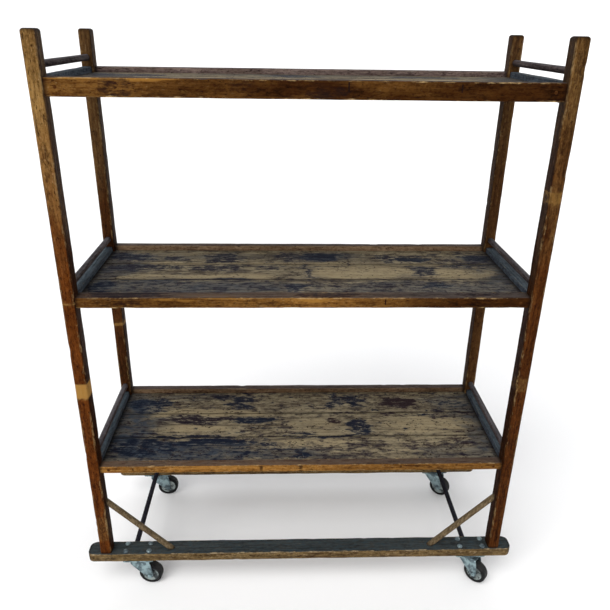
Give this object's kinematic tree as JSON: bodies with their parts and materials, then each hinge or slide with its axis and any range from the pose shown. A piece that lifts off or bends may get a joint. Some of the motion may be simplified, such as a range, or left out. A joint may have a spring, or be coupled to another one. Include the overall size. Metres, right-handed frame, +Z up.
{
  "type": "book cart",
  "caption": "Rolling wooden book cart with tray shelves between corner posts, end guard rails, a braced runner base and swivel casters.",
  "frame": {"origin": "on the floor, under the middle of the whole cart's bounding box", "axes": "+X along the cart's length to its right, +Y towards its back, +Z up"},
  "size_m": [1.297, 0.482, 1.584],
  "materials": {
    "post_wood": "worn varnish, golden to reddish brown",
    "rail_wood": "worn varnish, orange brown with pale rubbed edges",
    "end_rail_wood": "bluish grey worn paint on wood",
    "board_wood": "bare weathered wood with blue-black and purple stains",
    "runner_wood": "dark slate stain on top, brown edges",
    "guard_wood": "dark grey, rubbed",
    "rod_wood": "near-black stain",
    "brace_wood": "light brown, rubbed",
    "caster_zinc": "dull bluish zinc plate",
    "hub_metal": "dull grey, turned rings",
    "tyre_rubber": "matte black rubber"
  },
  "bodies": {
    "frame": {"runner_front": "runner_wood", "post_front_left": "post_wood", "brace_front_left": "brace_wood", "post_front_right": "post_wood", "brace_front_right": "brace_wood", "runner_back": "runner_wood", "post_back_left": "post_wood", "brace_back_left": "brace_wood", "post_back_right": "post_wood", "brace_back_right": "brace_wood", "cross_rod_left": "rod_wood", "cross_rod_right": "rod_wood", "bottom_shelf_front_rail": "rail_wood", "bottom_shelf_back_rail": "rail_wood", "bottom_shelf_left_end_rail": "end_rail_wood", "bottom_shelf_left_guard": "guard_wood", "bottom_shelf_right_end_rail": "end_rail_wood", "bottom_shelf_right_guard": "guard_wood", "bottom_shelf_board_1": "board_wood", "bottom_shelf_board_2": "board_wood", "bottom_shelf_board_3": "board_wood", "middle_shelf_front_rail": "rail_wood", "middle_shelf_back_rail": "rail_wood", "middle_shelf_left_end_rail": "end_rail_wood", "middle_shelf_left_guard": "guard_wood", "middle_shelf_right_end_rail": "end_rail_wood", "middle_shelf_right_guard": "guard_wood", "middle_shelf_board_1": "board_wood", "middle_shelf_board_2": "board_wood", "middle_shelf_board_3": "board_wood", "top_shelf_front_rail": "rail_wood", "top_shelf_back_rail": "rail_wood", "top_shelf_left_end_rail": "end_rail_wood", "top_shelf_left_guard": "guard_wood", "top_shelf_right_end_rail": "end_rail_wood", "top_shelf_right_guard": "guard_wood", "top_shelf_board_1": "board_wood", "top_shelf_board_2": "board_wood", "top_shelf_board_3": "board_wood", "caster_front_left_mount": "caster_zinc", "caster_front_right_mount": "caster_zinc", "caster_back_left_mount": "caster_zinc", "caster_back_right_mount": "caster_zinc"},
    "swivel_front_left": {"caster_front_left_fork": "caster_zinc", "caster_front_left_axle": "caster_zinc"},
    "wheel_front_left": {"caster_front_left_hub": "hub_metal", "caster_front_left_tyre": "tyre_rubber"},
    "swivel_front_right": {"caster_front_right_fork": "caster_zinc", "caster_front_right_axle": "caster_zinc"},
    "wheel_front_right": {"caster_front_right_hub": "hub_metal", "caster_front_right_tyre": "tyre_rubber"},
    "swivel_back_left": {"caster_back_left_fork": "caster_zinc", "caster_back_left_axle": "caster_zinc"},
    "wheel_back_left": {"caster_back_left_hub": "hub_metal", "caster_back_left_tyre": "tyre_rubber"},
    "swivel_back_right": {"caster_back_right_fork": "caster_zinc", "caster_back_right_axle": "caster_zinc"},
    "wheel_back_right": {"caster_back_right_hub": "hub_metal", "caster_back_right_tyre": "tyre_rubber"}
  },
  "joints": [
    {"name": "swivel_front_left", "type": "hinge", "parent": "frame", "child": "swivel_front_left", "pos_m": [-0.5, -0.18764, 0.092], "axis": [0, 0, 1], "continuous": true},
    {"name": "wheel_front_left", "type": "hinge", "parent": "swivel_front_left", "child": "wheel_front_left", "pos_m": [-0.46718, -0.19109, 0.036], "axis": [0.1045, 0.9945, 0], "continuous": true},
    {"name": "swivel_front_right", "type": "hinge", "parent": "frame", "child": "swivel_front_right", "pos_m": [0.525, -0.18764, 0.092], "axis": [0, 0, 1], "continuous": true},
    {"name": "wheel_front_right", "type": "hinge", "parent": "swivel_front_right", "child": "wheel_front_right", "pos_m": [0.54952, -0.20972, 0.036], "axis": [0.6691, 0.7431, 0], "continuous": true},
    {"name": "swivel_back_left", "type": "hinge", "parent": "frame", "child": "swivel_back_left", "pos_m": [-0.515, 0.21236, 0.092], "axis": [0, 0, 1], "continuous": true},
    {"name": "wheel_back_left", "type": "hinge", "parent": "swivel_back_left", "child": "wheel_back_left", "pos_m": [-0.48213, 0.21524, 0.036], "axis": [-0.0872, 0.9962, 0], "continuous": true},
    {"name": "swivel_back_right", "type": "hinge", "parent": "frame", "child": "swivel_back_right", "pos_m": [0.502, 0.21236, 0.092], "axis": [0, 0, 1], "continuous": true},
    {"name": "wheel_back_right", "type": "hinge", "parent": "swivel_back_right", "child": "wheel_back_right", "pos_m": [0.5287, 0.19296, 0.036], "axis": [0.5878, 0.809, 0], "continuous": true}
  ]
}
